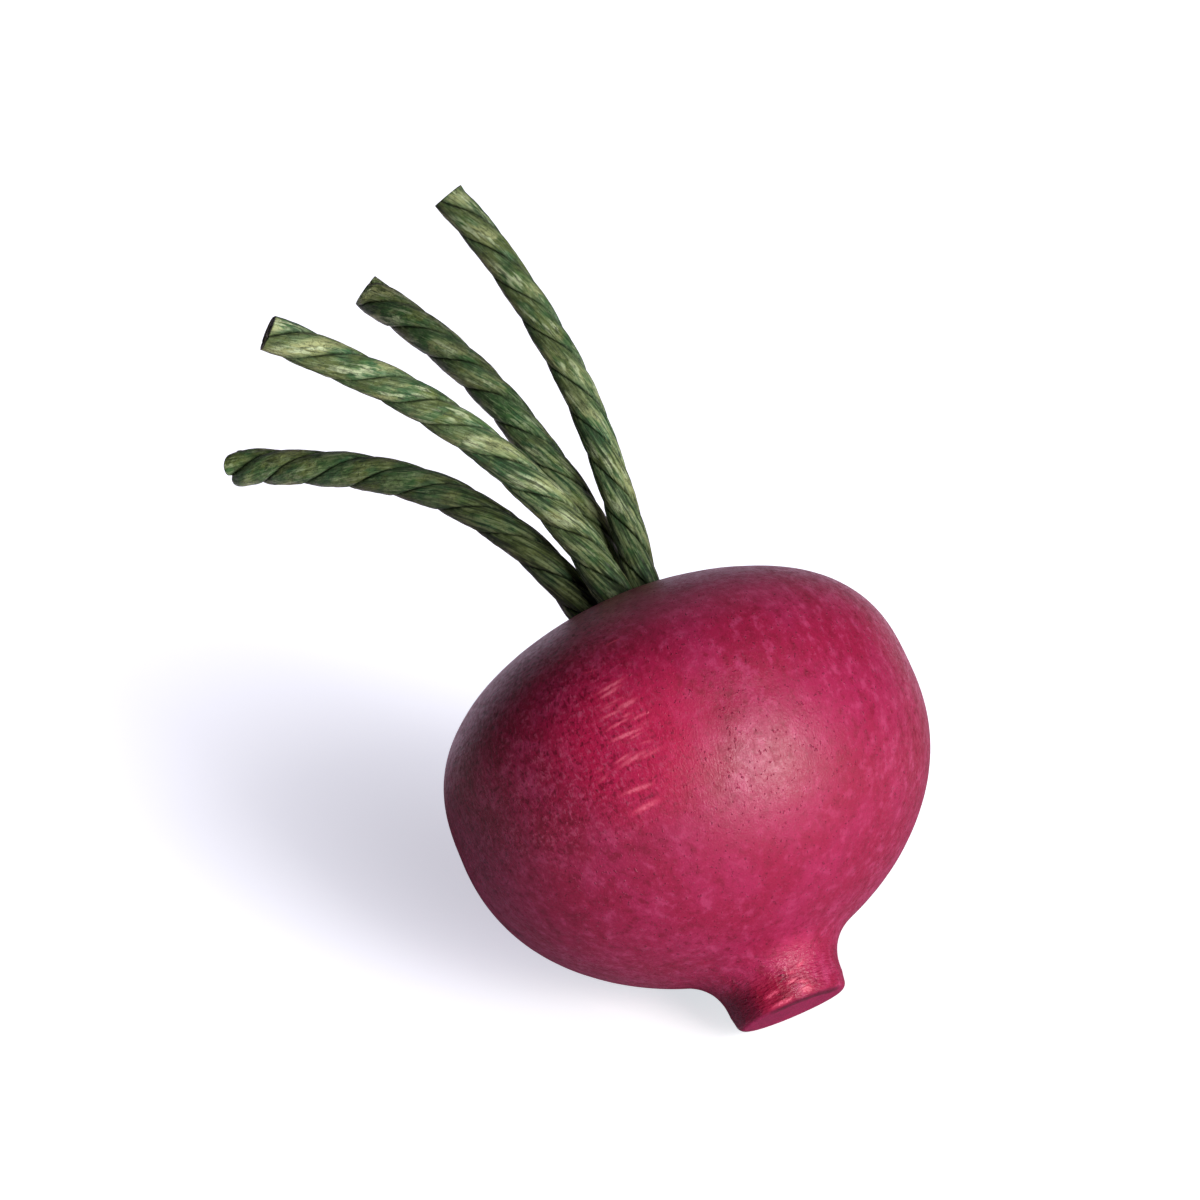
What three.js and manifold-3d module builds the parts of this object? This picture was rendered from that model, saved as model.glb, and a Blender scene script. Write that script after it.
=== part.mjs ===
// A wooden toy beetroot, lying as it rests on a table: a turned bulb with a short root, and four stems of
// twisted paper cord glued in a hole in its crown. Millimetres, +Z up. The origin is the middle of the
// small flat that the bulb rests on, and the root points to +X and down.

import * as THREE from 'three';
import { mergeVertices } from 'three/addons/utils/BufferGeometryUtils.js';
import Module from 'manifold-3d';

// The bulb, in its own frame: z runs along the turning axis, from the root to the crown, and z = 0 is the
// widest ring. Each half is a quarter of a superellipse, with a power for its radius and one for its height.
const BULB_RADIUS = 27.5;
const CROWN = { height: 20.8, radialPower: 1.8, axialPower: 2.89 };
const BELLY = { height: 24.5, radialPower: 1.745, axialPower: 2.13 };

// The root, a stub that a hollow neck joins to the belly.
const NECK_START_RADIUS = 10.4; // where the neck leaves the belly
const ROOT_RADIUS = 6.75; // where the neck ends
const NECK_END_Z = -27.6;
const ROOT_END_RADIUS = 6.55;
const ROOT_END_Z = -29.6;
const ROOT_RIM_ROUNDING = 0.95;

// The stem hole, drilled from the crown, and the glue set at the bottom of it.
const HOLE_RADIUS = 5.85;
const HOLE_FLOOR_Z = 11.3;
const HOLE_CHAMFER = 0.5;
const FIT_GAP = 0.3; // left between pieces that touch
const GLUE_DISC_THICKNESS = 1.5;
const GLUE_POST_RADIUS = 0.85; // the glue that wells up between the four cords
const GLUE_POST_TOP_Z = 18.5;

// The stems: three paper plies twisted to the left.
const CORD_RADIUS = 2.1;
const CORD_GROOVE_RADIUS = 1.65; // at the bottom of the seam between two plies
const CORD_SHOULDER_RADIUS = 2; // beside the seam
const CORD_PLIES = 3;
const CORD_PITCH = 17; // length of one full turn
const CORD_STEP = 1.5; // length between two rings of the mesh
const TIP_LENGTH = 6; // the stretch at the cut end over which the plies open
const STEM_CIRCLE_RADIUS = 3.35; // of the circle that the cords stand on in the hole
const STEM_FOOT_Z = HOLE_FLOOR_Z + FIT_GAP + GLUE_DISC_THICKNESS + FIT_GAP;
const STEM_STRAIGHT_TO_Z = 19.8; // up to here a cord stands along the axis

// The stems in their order round the circle, the first at FIRST_STEM_ANGLE. `route` is the points that a
// stem's middle passes after the hole, `thickness` is its share of the nominal cord, and `opening` is how
// much wider its plies stand at the cut end.
const FIRST_STEM_ANGLE = THREE.MathUtils.degToRad(61);
const STEMS = [
  {
    name: 'stem_upright',
    thickness: 0.95,
    opening: 0.04,
    color: 0x5a6e42,
    route: [
      [2, 4.25, 30],
      [2.5, 5, 40.75],
      [2.5, 4.5, 51.75],
      [1.75, 3, 62.75],
      [0.75, 0.5, 72.25],
    ],
  },
  {
    name: 'stem_back',
    thickness: 1.03,
    opening: 0.05,
    color: 0x3e5232,
    route: [
      [-2.75, 2.5, 30.75],
      [-5.25, 1.5, 42.75],
      [-9, 0.5, 52.75],
      [-15, -0.5, 62.5],
      [-21.5, -1.5, 70.75],
    ],
  },
  {
    name: 'stem_low',
    thickness: 1.03,
    opening: 0.12,
    color: 0x34482c,
    route: [
      [-3.75, -5, 29.75],
      [-8.5, -8.5, 39.25],
      [-15.5, -12.5, 46.75],
      [-24, -16.5, 52.5],
      [-34, -20, 57.75],
    ],
  },
  {
    name: 'stem_front',
    thickness: 1.05,
    opening: 0.04,
    color: 0x667a4a,
    route: [
      [2, -3, 30.5],
      [0.75, -7, 40.5],
      [-0.75, -12.75, 49.75],
      [-2.5, -20, 57.75],
      [-3.5, -26, 63.25],
    ],
  },
];

const REST_FLAT_DEPTH = 0.15; // how deep the resting surface cuts into the round bulb and the root's rim

const TURNING_SEGMENTS = 48;
const CROWN_POINTS = 14;
const BELLY_POINTS = 15;
const NECK_POINTS = 6;
const RIM_POINTS = 3;

const WOOD_COLOR = 0xa32c52;
const GLUE_COLOR = 0x2a2b20;

/** Part of a quarter superellipse in the turning plane, between two angles above the widest ring. */
class TurnedArc extends THREE.Curve {
  constructor({ height, radialPower, axialPower }, direction, fromAngle, toAngle) {
    super();
    this.height = height * direction;
    this.radialExponent = 2 / radialPower;
    this.axialExponent = 2 / axialPower;
    this.fromAngle = fromAngle;
    this.toAngle = toAngle;
  }

  getPoint(t, target = new THREE.Vector2()) {
    const angle = THREE.MathUtils.lerp(this.fromAngle, this.toAngle, t);
    return target.set(
      BULB_RADIUS * Math.cos(angle) ** this.radialExponent,
      this.height * Math.sin(angle) ** this.axialExponent,
    );
  }
}

/** The angle at which a half of the bulb has the given radius. */
function angleAtRadius({ radialPower }, radius) {
  return Math.acos((radius / BULB_RADIUS) ** (radialPower / 2));
}

/** The neck: a curve that leaves the belly along its slope and joins the root along the axis. */
function neckCurve(belly) {
  const start = belly.getPoint(1);
  const slope = belly.getTangent(1);
  const end = new THREE.Vector2(ROOT_RADIUS, NECK_END_Z);
  const reach = (ROOT_RADIUS - start.x) / slope.x;
  const corner = start.clone().addScaledVector(slope, reach);
  return new THREE.QuadraticBezierCurve(start, corner, end);
}

/** Radius and height of the body's outline, from the bottom of the stem hole to the end of the root. */
function bodyProfile() {
  const mouthRadius = HOLE_RADIUS + HOLE_CHAMFER;
  const crown = new TurnedArc(CROWN, 1, angleAtRadius(CROWN, mouthRadius), 0);
  const belly = new TurnedArc(BELLY, -1, 0, angleAtRadius(BELLY, NECK_START_RADIUS));
  const rim = new THREE.EllipseCurve(
    ROOT_END_RADIUS - ROOT_RIM_ROUNDING,
    ROOT_END_Z + ROOT_RIM_ROUNDING,
    ROOT_RIM_ROUNDING,
    ROOT_RIM_ROUNDING,
    0,
    -Math.PI / 2,
    true,
  );
  const mouth = crown.getPoint(0);
  return [
    new THREE.Vector2(0, HOLE_FLOOR_Z),
    new THREE.Vector2(HOLE_RADIUS, HOLE_FLOOR_Z),
    new THREE.Vector2(HOLE_RADIUS, mouth.y - HOLE_CHAMFER),
    ...crown.getSpacedPoints(CROWN_POINTS),
    ...belly.getSpacedPoints(BELLY_POINTS).slice(1),
    ...neckCurve(belly).getSpacedPoints(NECK_POINTS).slice(1),
    ...rim.getSpacedPoints(RIM_POINTS),
    new THREE.Vector2(0, ROOT_END_Z),
  ];
}

/** How far the profile reaches in a direction that points out from the axis and `angle` towards the root. */
function reachOf(points, angle) {
  return Math.max(...points.map((point) => point.x * Math.cos(angle) - point.y * Math.sin(angle)));
}

/** The downward direction in which the belly and the root's rim reach equally far, and how far that is. */
function restOn(profile) {
  const belly = profile.filter((point) => point.x > NECK_START_RADIUS);
  const root = profile.filter((point) => point.y < NECK_END_Z);
  let low = 0;
  let high = Math.PI / 2;
  while (high - low > 1e-9) {
    const middle = (low + high) / 2;
    if (reachOf(root, middle) < reachOf(belly, middle)) low = middle;
    else high = middle;
  }
  const reach = reachOf(belly, low);
  const touching = belly.find((point) => Math.abs(reachOf([point], low) - reach) < 1e-9);
  return { angle: low, reach, touching };
}

/** A solid turned round the z axis, from its profile in the order from the crown to the root. */
function turned(profile, segments) {
  const points = [...profile].reverse();
  return new THREE.LatheGeometry(points, segments).rotateX(Math.PI / 2).rotateZ(Math.PI / 2);
}

const wasm = await Module();
wasm.setup();

function solidOf(geometry) {
  const bare = geometry.clone().deleteAttribute('normal').deleteAttribute('uv');
  const merged = mergeVertices(bare, 1e-4);
  return new wasm.Manifold(
    new wasm.Mesh({
      numProp: 3,
      vertProperties: merged.attributes.position.array,
      triVerts: new Uint32Array(merged.index.array),
    }),
  );
}

function geometryOf(solid) {
  const mesh = solid.getMesh();
  const geometry = new THREE.BufferGeometry();
  geometry.setAttribute('position', new THREE.BufferAttribute(mesh.vertProperties, mesh.numProp));
  geometry.setIndex(new THREE.BufferAttribute(mesh.triVerts, 1));
  geometry.computeVertexNormals();
  return geometry;
}

/** The bulb and root, with what would lie below the resting surface cut away. */
function bodyGeometry(profile, placement) {
  const size = 4 * BULB_RADIUS;
  const ground = new THREE.BoxGeometry(size, size, size).translate(0, 0, -size / 2);
  ground.applyMatrix4(placement.clone().invert());
  return geometryOf(solidOf(turned(profile, TURNING_SEGMENTS)).subtract(solidOf(ground)));
}

/** Outline of the cord across its length: round plies that meet in sharp seams. */
function cordSection() {
  const radii = [CORD_GROOVE_RADIUS, CORD_SHOULDER_RADIUS, CORD_RADIUS, CORD_RADIUS, CORD_SHOULDER_RADIUS];
  const corners = CORD_PLIES * radii.length;
  const points = Array.from({ length: corners }, (_, i) => {
    const angle = (2 * Math.PI * i) / corners;
    const radius = radii[i % radii.length];
    return new THREE.Vector2(radius * Math.cos(angle), radius * Math.sin(angle));
  });
  return new THREE.Shape(points);
}

/** A twisted cord along a stem's route: a straight extrusion, turned and then bent onto the route. */
function stemGeometry({ thickness, opening, route }, index) {
  const place = FIRST_STEM_ANGLE + (2 * Math.PI * index) / STEMS.length;
  const x = STEM_CIRCLE_RADIUS * Math.cos(place);
  const y = STEM_CIRCLE_RADIUS * Math.sin(place);
  const path = new THREE.CatmullRomCurve3([
    new THREE.Vector3(x, y, STEM_FOOT_Z),
    new THREE.Vector3(x, y, STEM_STRAIGHT_TO_Z),
    ...route.map((point) => new THREE.Vector3(...point)),
  ]);
  const length = path.getLength();
  const steps = Math.round(length / CORD_STEP);
  const frames = path.computeFrenetFrames(steps);
  const geometry = new THREE.ExtrudeGeometry(cordSection(), { depth: length, steps, bevelEnabled: false });
  const position = geometry.attributes.position;
  const axis = new THREE.Vector3(0, 0, 1);
  const offset = new THREE.Vector3();
  for (let i = 0; i < position.count; i += 1) {
    offset.fromBufferAttribute(position, i);
    const step = Math.round((offset.z / length) * steps);
    const nearTip = THREE.MathUtils.smoothstep(offset.z, length - TIP_LENGTH, length);
    offset.setZ(0).multiplyScalar(thickness * (1 + opening * nearTip));
    offset.applyAxisAngle(axis, (-2 * Math.PI * length * step) / (steps * CORD_PITCH));
    const placed = path.getPointAt(step / steps);
    placed.addScaledVector(frames.normals[step], offset.x);
    placed.addScaledVector(frames.binormals[step], offset.y);
    position.setXYZ(i, placed.x, placed.y, placed.z);
  }
  geometry.computeVertexNormals();
  return geometry;
}

/** The set glue: a disc on the hole's floor, with a post between the four cords. */
function glueGeometry() {
  const bottom = HOLE_FLOOR_Z + FIT_GAP;
  const discTop = bottom + GLUE_DISC_THICKNESS;
  const discRadius = HOLE_RADIUS - FIT_GAP;
  const profile = [
    new THREE.Vector2(0, GLUE_POST_TOP_Z),
    new THREE.Vector2(GLUE_POST_RADIUS, GLUE_POST_TOP_Z - GLUE_POST_RADIUS),
    new THREE.Vector2(GLUE_POST_RADIUS, discTop),
    new THREE.Vector2(discRadius, discTop),
    new THREE.Vector2(discRadius, bottom),
    new THREE.Vector2(0, bottom),
  ];
  return turned(profile, TURNING_SEGMENTS / 2);
}

function piece(name, geometry, color, roughness) {
  const material = new THREE.MeshStandardMaterial({ color, roughness, metalness: 0 });
  const mesh = new THREE.Mesh(geometry, material);
  mesh.name = name;
  return mesh;
}

const profile = bodyProfile();
const rest = restOn(profile);

const beetroot = new THREE.Group();
beetroot.rotation.y = rest.angle - Math.PI / 2;
beetroot.updateMatrix();
const contact = new THREE.Vector3(-rest.touching.x, 0, rest.touching.y).applyMatrix4(beetroot.matrix);
beetroot.position.set(-contact.x, 0, rest.reach - REST_FLAT_DEPTH);
beetroot.updateMatrix();

beetroot.add(piece('body', bodyGeometry(profile, beetroot.matrix), WOOD_COLOR, 0.5));
beetroot.add(piece('stem_glue', glueGeometry(), GLUE_COLOR, 0.4));
STEMS.forEach((stem, index) => {
  beetroot.add(piece(stem.name, stemGeometry(stem, index), stem.color, 0.8));
});

export default beetroot;
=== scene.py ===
"""Look of the wooden toy beetroot: a stained, turned bulb with four stems of twisted paper cord."""

import math

import bpy
import numpy as np
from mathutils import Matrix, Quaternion, Vector


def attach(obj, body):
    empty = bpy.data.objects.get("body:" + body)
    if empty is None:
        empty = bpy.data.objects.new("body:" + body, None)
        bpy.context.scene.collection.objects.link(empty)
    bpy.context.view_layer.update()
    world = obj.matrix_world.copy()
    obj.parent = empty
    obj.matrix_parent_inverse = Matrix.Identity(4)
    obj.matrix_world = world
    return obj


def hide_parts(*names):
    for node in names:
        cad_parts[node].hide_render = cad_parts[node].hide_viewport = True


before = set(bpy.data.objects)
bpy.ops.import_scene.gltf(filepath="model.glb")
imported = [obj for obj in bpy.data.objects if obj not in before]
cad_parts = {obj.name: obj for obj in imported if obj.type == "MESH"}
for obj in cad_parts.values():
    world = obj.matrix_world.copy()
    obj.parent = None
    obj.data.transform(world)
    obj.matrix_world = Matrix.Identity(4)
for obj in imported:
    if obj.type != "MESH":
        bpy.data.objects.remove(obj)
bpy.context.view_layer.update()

MM = 0.001

# ---- where the bulb lies, as in the CAD part
TILT = math.radians(46.779)  # how far the turning axis rises from the table, towards the crown
WIDEST_RING = np.array([4.032, 0.0, 25.510])  # its middle, in mm
TURNED_X = np.array([math.sin(TILT), 0.0, math.cos(TILT)])  # the upward side of the bulb
TURNED_Y = np.array([0.0, 1.0, 0.0])
TURNED_Z = np.array([-math.cos(TILT), 0.0, math.sin(TILT)])  # along the axis, from the root to the crown


def to_world(points):
    """Points of the bulb's own frame, in mm, as metres in the row frame."""
    points = np.asarray(points, float)
    turned = points[..., 0:1] * TURNED_X + points[..., 1:2] * TURNED_Y + points[..., 2:3] * TURNED_Z
    return (WIDEST_RING + turned) * MM


def new_object(name, data):
    """An object in the scene, at the origin."""
    made = bpy.data.objects.new(name, data)
    bpy.context.scene.collection.objects.link(made)
    return made


# ---- camera
CAMERA_AZIMUTH = 54.8  # in degrees, as `direction` takes them
CAMERA_ELEVATION = 27.3
CAMERA_DISTANCE = 600.0  # in mm, from the point that the camera is set by
CAMERA_ROLL = math.radians(-0.315)
CAMERA_REACH = (0.01, 20.0)  # nearest and farthest that it sees, in metres
LENS_FOCAL = 5340.0  # in pixels of the 1200 x 1200 frame
FRAME_SIDE = 1200.0
SENSOR = 36.0
ANCHOR_Z = -2.17  # the point of the axis that the camera is set by
ANCHOR_PIXEL = (697.3, 786.7)  # where that point shows


def direction(azimuth, elevation):
    """The unit vector towards two angles in degrees: azimuth 0 is the front, and 90 the right."""
    a, e = math.radians(azimuth), math.radians(elevation)
    return Vector((math.sin(a) * math.cos(e), -math.cos(a) * math.cos(e), math.sin(e)))


def make_camera():
    """From the front right, a little above, with a long lens. Returns its place, in metres."""
    anchor = Vector(to_world([0.0, 0.0, ANCHOR_Z]))
    back = direction(CAMERA_AZIMUTH, CAMERA_ELEVATION)
    right = direction(CAMERA_AZIMUTH + 90, 0.0)
    up = back.cross(right)
    per_pixel = CAMERA_DISTANCE * MM / LENS_FOCAL
    middle = FRAME_SIDE / 2
    aim = anchor + right * ((middle - ANCHOR_PIXEL[0]) * per_pixel)
    aim += up * ((ANCHOR_PIXEL[1] - middle) * per_pixel)
    data = bpy.data.cameras.new("camera")
    data.sensor_width = SENSOR
    data.lens = LENS_FOCAL / FRAME_SIDE * SENSOR
    data.clip_start, data.clip_end = CAMERA_REACH
    camera = new_object("camera", data)
    camera.location = anchor + back * (CAMERA_DISTANCE * MM)
    camera.rotation_mode = "QUATERNION"
    level = (aim - camera.location).to_track_quat("-Z", "Y")
    camera.rotation_quaternion = level @ Quaternion((0.0, 0.0, 1.0), CAMERA_ROLL)
    bpy.context.scene.camera = camera
    return camera.location


# The camera's place in the bulb's own frame, in mm
CAMERA_AT = np.array([TURNED_X, TURNED_Y, TURNED_Z]) @ (np.array(make_camera()) / MM - WIDEST_RING)


# ---- noise for the meshes
def lattice(ix, iy, iz, seed):
    """A value from -1 to 1 for each whole-numbered point: its coordinates, hashed."""
    h = (ix * 374761393 + iy * 668265263 + iz * 2147483647 + seed * 1274126177) & 0xFFFFFFFF
    h = ((h ^ (h >> 13)) * 1103515245) & 0xFFFFFFFF
    h = ((h ^ (h >> 16)) * 2246822519) & 0xFFFFFFFF
    return (h ^ (h >> 15)) / 2147483647.5 - 1.0


def noise(points, seed=0):
    """Smooth noise from -1 to 1 with features about one unit apart."""
    points = np.asarray(points, float)
    cell = np.floor(points).astype(np.int64)
    f = points - cell
    f = f * f * f * (f * (f * 6 - 15) + 10)
    total = np.zeros(points.shape[:-1])
    for dx in (0, 1):
        for dy in (0, 1):
            for dz in (0, 1):
                weight = (f[..., 0] if dx else 1 - f[..., 0]) * (f[..., 1] if dy else 1 - f[..., 1])
                weight = weight * (f[..., 2] if dz else 1 - f[..., 2])
                total += weight * lattice(cell[..., 0] + dx, cell[..., 1] + dy, cell[..., 2] + dz, seed)
    return total


def wander(s, step, seed):
    """Noise along a line: a value from -1 to 1 for each length `s`, changing over about `step`."""
    s = np.asarray(s, float)
    return noise(np.stack([s / step, np.full_like(s, 0.5), np.full_like(s, 0.5)], -1), seed)


def smoothstep(x, low, high):
    """0 up to `low`, 1 from `high`, and a smooth rise between them. `low` may be the greater."""
    t = np.clip((x - low) / (high - low), 0.0, 1.0)
    return t * t * (3 - 2 * t)


# ---- meshes
def grid_faces(rings, around, first=0):
    """Quads between rings of `around` points each, closed round."""
    i = np.arange(rings - 1)[:, None] * around
    j = np.arange(around)[None, :]
    k = (j + 1) % around
    return np.stack([i + j, i + k, i + around + k, i + around + j], -1).reshape(-1, 4) + first


def make_piece(name, rings, attributes, body, slot, replaced):
    """A closed surface of rings of points, each in mm in the bulb's frame, that ends in two single points."""
    count, around = rings.shape[0] - 2, rings.shape[1]
    inner = rings[1:-1].reshape(-1, 3)
    points = np.concatenate([rings[:1, 0], inner, rings[-1:, 0]])
    placed = to_world(points)
    placed[:, 2] = np.maximum(placed[:, 2], 0.0)  # flat where it would reach below the table
    j = np.arange(around)
    k = (j + 1) % around
    last = 1 + (count - 1) * around
    fan = np.stack([np.zeros_like(j), 1 + k, 1 + j], -1)
    cap = np.stack([np.full_like(j, last + around), last + j, last + k], -1)
    quads = grid_faces(count, around, 1)
    mesh = bpy.data.meshes.new(name)
    mesh.from_pydata(placed.tolist(), [], fan.tolist() + quads.tolist() + cap.tolist())
    mesh.polygons.foreach_set("use_smooth", np.ones(len(mesh.polygons), bool))
    for key, values in attributes.items():
        flat = np.concatenate([values[:1, 0], values[1:-1].reshape(-1, 3), values[-1:, 0]])
        layer = mesh.attributes.new(key, "FLOAT_VECTOR", "POINT")
        layer.data.foreach_set("vector", flat.astype(np.float32).ravel())
    mesh.update()
    piece = new_object(name, mesh)
    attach(piece, body)
    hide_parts(replaced)
    return piece


# ---- bulb
BULB_RADIUS = 27.5
CROWN = {"height": 20.8, "radial": 1.8, "axial": 2.89}
BELLY = {"height": 24.5, "radial": 1.745, "axial": 2.13}
NECK_START_RADIUS = 10.4
ROOT_RADIUS = 6.75
NECK_END_Z = -27.6
ROOT_END_RADIUS = 6.55
ROOT_END_Z = -29.6
ROOT_RIM = 0.95
HOLE_RADIUS = 5.85
HOLE_FLOOR_Z = 11.3
HOLE_CHAMFER = 0.5
BULB_SEGMENTS = 300
HALF_POINTS = 2000  # of the crown's and the belly's curve, before the outline is spaced evenly
NECK_POINTS = 400
RIM_POINTS = 60
LIP_POINTS = 40

# How far apart the outline's points are in the end, in mm
FLOOR_STEP = 1.5
WALL_STEP = 1.0
LIP_STEP = 0.12
SKIN_STEP = 0.33
RIM_STEP = 0.15
END_STEP = 0.25

# Relief, in mm
DENTS = 70
DENT_SIZE = (0.3, 0.7)
DENT_DEPTH = (0.02, 0.07)
SAWN_RING_HEIGHT = 0.03
SAWN_RING_SPACING = 1.1
PIP_DEPTH = 0.35  # of the lathe's mark in the middle of the sawn end
PIP_RADIUS = 0.45


def angle_at(half, radius):
    """The angle of the superellipse at which the outline has this radius."""
    return math.acos((radius / BULB_RADIUS) ** (half["radial"] / 2))


def half_curve(half, upward, start, end):
    """The outline of the crown (`upward` 1) or the belly (-1), between two angles."""
    angle = np.linspace(start, end, HALF_POINTS)
    radius = BULB_RADIUS * np.cos(angle) ** (2 / half["radial"])
    height = upward * half["height"] * np.sin(angle) ** (2 / half["axial"])
    return np.stack([radius, height], -1)


def arc(middle, radius, start, end, points):
    """Part of a circle, between two angles."""
    turn = np.linspace(start, end, points)
    return np.array(middle) + radius * np.stack([np.cos(turn), np.sin(turn)], -1)


def spaced(curve, step):
    """The curve again, with points about `step` apart."""
    length = np.concatenate([[0], np.cumsum(np.hypot(*np.diff(curve, axis=0).T))])
    count = max(2, int(round(length[-1] / step)) + 1)
    at = np.linspace(0, length[-1], count)
    return np.stack([np.interp(at, length, curve[:, 0]), np.interp(at, length, curve[:, 1])], -1)


def bulb_profile():
    """Radius and height of the outline, from the bottom of the stem hole to the middle of the root's end."""
    mouth = HOLE_RADIUS + HOLE_CHAMFER
    crown = half_curve(CROWN, 1, angle_at(CROWN, mouth), 0)
    belly = half_curve(BELLY, -1, 0, angle_at(BELLY, NECK_START_RADIUS))
    start, slope = belly[-1], belly[-1] - belly[-2]
    end = np.array([ROOT_RADIUS, NECK_END_Z])
    corner = start + slope * ((ROOT_RADIUS - start[0]) / slope[0])
    t = np.linspace(0, 1, NECK_POINTS)[:, None]
    neck = (1 - t) ** 2 * start + 2 * t * (1 - t) * corner + t * t * end
    rim_middle = (ROOT_END_RADIUS - ROOT_RIM, ROOT_END_Z + ROOT_RIM)
    rim = arc(rim_middle, ROOT_RIM, 0, -math.pi / 2, RIM_POINTS)
    lip = arc((mouth, crown[0, 1] - HOLE_CHAMFER), HOLE_CHAMFER, math.pi, math.pi / 2, LIP_POINTS)
    floor = np.array([[0.0, HOLE_FLOOR_Z], [HOLE_RADIUS, HOLE_FLOOR_Z]])
    wall = np.array([[HOLE_RADIUS, HOLE_FLOOR_Z], [HOLE_RADIUS, lip[0, 1]]])
    skin = np.concatenate([crown, belly[1:], neck[1:]])
    rim = np.concatenate([[end], rim])
    end_face = np.array([[rim[-1, 0], ROOT_END_Z], [0.0, ROOT_END_Z]])
    return np.concatenate([
        spaced(floor, FLOOR_STEP),
        spaced(wall, WALL_STEP)[1:],
        spaced(lip, LIP_STEP)[1:],
        spaced(skin, SKIN_STEP)[1:],
        spaced(rim, RIM_STEP)[1:],
        spaced(end_face, END_STEP)[1:],
    ])


def bulb_relief(radius, height, s, place):
    """How far each point stands out: a slow unevenness, fine tool rings, small dents, and a sawn end."""
    lift = 0.05 * noise(place / 9.0, 3) + 0.02 * noise(place / 3.0, 4)
    rings = wander(s, 0.8, 5) * 0.6 + wander(s, 2.1, 6)
    lift += 0.014 * rings[:, None] * (1 + 0.5 * noise(place / 12.0, 7))
    random = np.random.default_rng(11)
    on_the_skin = (height < 18) & (height > -24) & (radius > 8)
    dentable_rows = np.flatnonzero(on_the_skin)
    for _ in range(DENTS):
        row = random.choice(dentable_rows)
        column = random.integers(BULB_SEGMENTS)
        size = random.uniform(*DENT_SIZE)
        depth = random.uniform(*DENT_DEPTH)
        away = np.linalg.norm(place - place[row, column], axis=-1)
        lift -= depth * np.exp(-((away / size) ** 2))
    sawn = (height <= ROOT_END_Z + 1e-6)[:, None]
    sawn_rings = SAWN_RING_HEIGHT * np.sin(radius * 2 * math.pi / SAWN_RING_SPACING)[:, None]
    pip = PIP_DEPTH * np.exp(-((radius / PIP_RADIUS) ** 2))[:, None]
    lift = np.where(sawn, 0.4 * lift + sawn_rings - pip, lift)
    in_hole = ((height < 19.0) & (radius <= HOLE_RADIUS + 1e-6))[:, None]
    lift = np.where(in_hole, 0.0, lift)
    lift[0] = lift[0].mean()
    lift[-1] = lift[-1].mean()
    return lift


def make_bulb():
    """The turned bulb with its root and its stem hole."""
    profile = bulb_profile()
    radius, height = profile[:, 0], profile[:, 1]
    s = np.concatenate([[0], np.cumsum(np.hypot(*np.diff(profile, axis=0).T))])
    tangent = np.gradient(profile, axis=0)
    tangent /= np.maximum(np.hypot(*tangent.T), 1e-9)[:, None]
    outward = np.stack([-tangent[:, 1], tangent[:, 0]], -1)
    phi = np.linspace(0, 2 * math.pi, BULB_SEGMENTS, endpoint=False)
    cos_p, sin_p = np.cos(phi)[None, :], np.sin(phi)[None, :]
    z = np.repeat(height[:, None], BULB_SEGMENTS, 1)
    place = np.stack([radius[:, None] * cos_p, radius[:, None] * sin_p, z], -1)
    lift = bulb_relief(radius, height, s, place)

    r = radius[:, None] + lift * outward[:, 0:1]
    rings = np.stack([r * cos_p, r * sin_p, z + lift * outward[:, 1:2]], -1)
    count = len(s)
    lengths = np.repeat(s[:, None], BULB_SEGMENTS, 1)
    skin = np.stack([np.repeat(cos_p, count, 0), np.repeat(sin_p, count, 0), lengths], -1)
    attributes = {"skin": skin, "turned": place}
    return make_piece("turned_bulb", rings, attributes, "root", "stained_wood", "body")


# ---- stems
STEM_FOOT_Z = 13.4
STEM_STRAIGHT_TO_Z = 19.8
STEM_CIRCLE_RADIUS = 3.35
FIRST_STEM_ANGLE = math.radians(61)
CORD_RADIUS = 2.1
PLIES = 3
PLY_TURN = 2 * math.pi / PLIES
PLY_POINTS = 52  # round one ply
CORD_STEP = 0.15  # from ring to ring, in mm
SPAN_STEPS = 200  # of the curve between two points of a route, before its rings are spaced evenly
LAY_UNEVENNESS = 1.1  # how far a seam strays from its even place, in mm
LAY_WAVE = 11.0  # the length over which that changes, in mm

# How far back from the tip these begin, in mm
TIP_LENGTH = 6.0  # the plies part
DRAWN_LENGTH = 9.0  # the cord is drawn out
SLANT_LENGTH = 3.0  # the cut leans over

# The section of the plies, in mm
PLY_CROWN = 0.25  # how much lower a ply's edges are than its middle
PLY_OVERLAP = 0.06  # how much one edge rises, and the other sinks
SEAM_DEPTH = 0.34
SEAM_BREADTH = 0.050  # as a share of half a ply's breadth
LONE_RADIUS = 0.975  # of a ply that stands free at a cut end
LONE_OUT = 1.125  # how far out its middle is

# Cut ends, in mm
CUT_SIZES = np.concatenate([[0.985, 0.95], np.linspace(0.9, 0.0, 16)])  # of their rings, over the rim's
# Painted shade: the cut ends are coloured as dark as a seam, and a little creased
CUT_END_SHADE = (0.9, 0.2, 0.0)  # coloured as in a seam, and a little creased
ROLL_MIDDLE = 1.1  # how far out the middle of each roll of paper is
ROLL_STEP = 0.34  # from one turn of the roll to the next
GAP_BREADTH = 0.35
GAP_DEPTH = 0.25

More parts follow.
